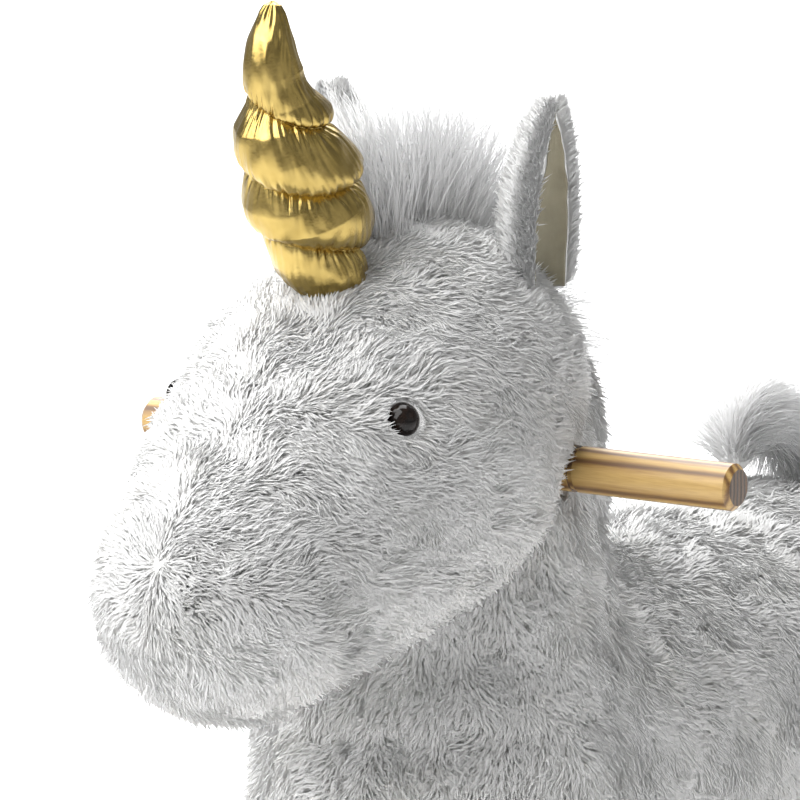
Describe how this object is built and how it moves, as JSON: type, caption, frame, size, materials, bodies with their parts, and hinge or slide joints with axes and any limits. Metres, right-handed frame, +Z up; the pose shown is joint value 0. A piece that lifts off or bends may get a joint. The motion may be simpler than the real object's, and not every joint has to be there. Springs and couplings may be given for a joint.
{
  "type": "plush ride-on unicorn",
  "caption": "White plush unicorn with a gold stuffed horn, floppy ears and a wooden handle bar through its neck, standing on wooden rockers with a foot rest",
  "frame": {"origin": "on the floor under the middle of the rockers, the bottom centre of the overall box", "axes": "+Z up, -Y towards the nose and +Y towards the tail, along the rockers, +X to the unicorn's own left, along the handle bar"},
  "size_m": [0.33, 0.7, 0.6099],
  "materials": {
    "pine": "satin",
    "zinc_steel": "satin",
    "white_plush": "matte",
    "long_pile": "matte",
    "stuffing": "matte",
    "gold_lame": "satin",
    "gold_thread": "satin",
    "ear_satin": "matte",
    "black_eye": "gloss",
    "washer_plastic": "satin"
  },
  "bodies": {
    "body": {"rocker_left": "pine", "rocker_right": "pine", "front_slat": "pine", "rear_slat": "pine", "foot_rest": "pine", "handle_dowel": "pine", "seat_board": "pine", "neck_post": "pine", "leg_post_front_left": "pine", "leg_post_front_right": "pine", "leg_post_rear_left": "pine", "leg_post_rear_right": "pine", "slat_screws": "zinc_steel", "seat_screws": "zinc_steel", "neck_screws": "zinc_steel", "handle_screw": "zinc_steel", "leg_bolts": "zinc_steel", "leg_washers": "zinc_steel", "leg_inserts": "zinc_steel", "head_cover": "white_plush", "neck_cover": "white_plush", "torso_cover": "white_plush", "leg_cover_front_left": "white_plush", "leg_cover_front_right": "white_plush", "leg_cover_rear_left": "white_plush", "leg_cover_rear_right": "white_plush", "mane": "long_pile", "head_stuffing": "stuffing", "neck_stuffing": "stuffing", "torso_stuffing": "stuffing", "leg_stuffing_front_left": "stuffing", "leg_stuffing_front_right": "stuffing", "leg_stuffing_rear_left": "stuffing", "leg_stuffing_rear_right": "stuffing", "eye_left": "black_eye", "eye_right": "black_eye", "eye_washer_left": "washer_plastic", "eye_washer_right": "washer_plastic"},
    "ear_left": {"ear_cover_left": "white_plush", "ear_lining_left": "ear_satin"},
    "ear_right": {"ear_cover_right": "white_plush", "ear_lining_right": "ear_satin"},
    "horn": {"horn_cover": "gold_lame", "horn_stuffing": "stuffing", "horn_thread": "gold_thread"},
    "tail_base": {"tail_root": "stuffing"},
    "tail": {"tail_core": "stuffing", "tail_tuft": "long_pile"}
  },
  "joints": [
    {"name": "ear_left_flop", "type": "hinge", "parent": "body", "child": "ear_left", "pos_m": [0.05727, -0.07782, 0.48325], "axis": [-0.342, 0.9397, 0], "range_deg": [-5, 45], "stiffness_Nm_per_rad": 0.06},
    {"name": "ear_right_flop", "type": "hinge", "parent": "body", "child": "ear_right", "pos_m": [-0.05727, -0.07782, 0.48325], "axis": [-0.342, -0.9397, 0], "range_deg": [-5, 45], "stiffness_Nm_per_rad": 0.06},
    {"name": "horn_lean", "type": "hinge", "parent": "body", "child": "horn", "pos_m": [0, -0.172, 0.477], "axis": [1, 0, 0], "range_deg": [-5, 5], "stiffness_Nm_per_rad": 1.5},
    {"name": "tail_swing", "type": "hinge", "parent": "body", "child": "tail_base", "pos_m": [0, 0.213, 0.339], "axis": [0, 0, 1], "range_deg": [-35, 35], "stiffness_Nm_per_rad": 0.4},
    {"name": "tail_lift", "type": "hinge", "parent": "tail_base", "child": "tail", "pos_m": [0, 0.213, 0.339], "axis": [1, 0, 0], "range_deg": [0, 45], "stiffness_Nm_per_rad": 0.4}
  ]
}
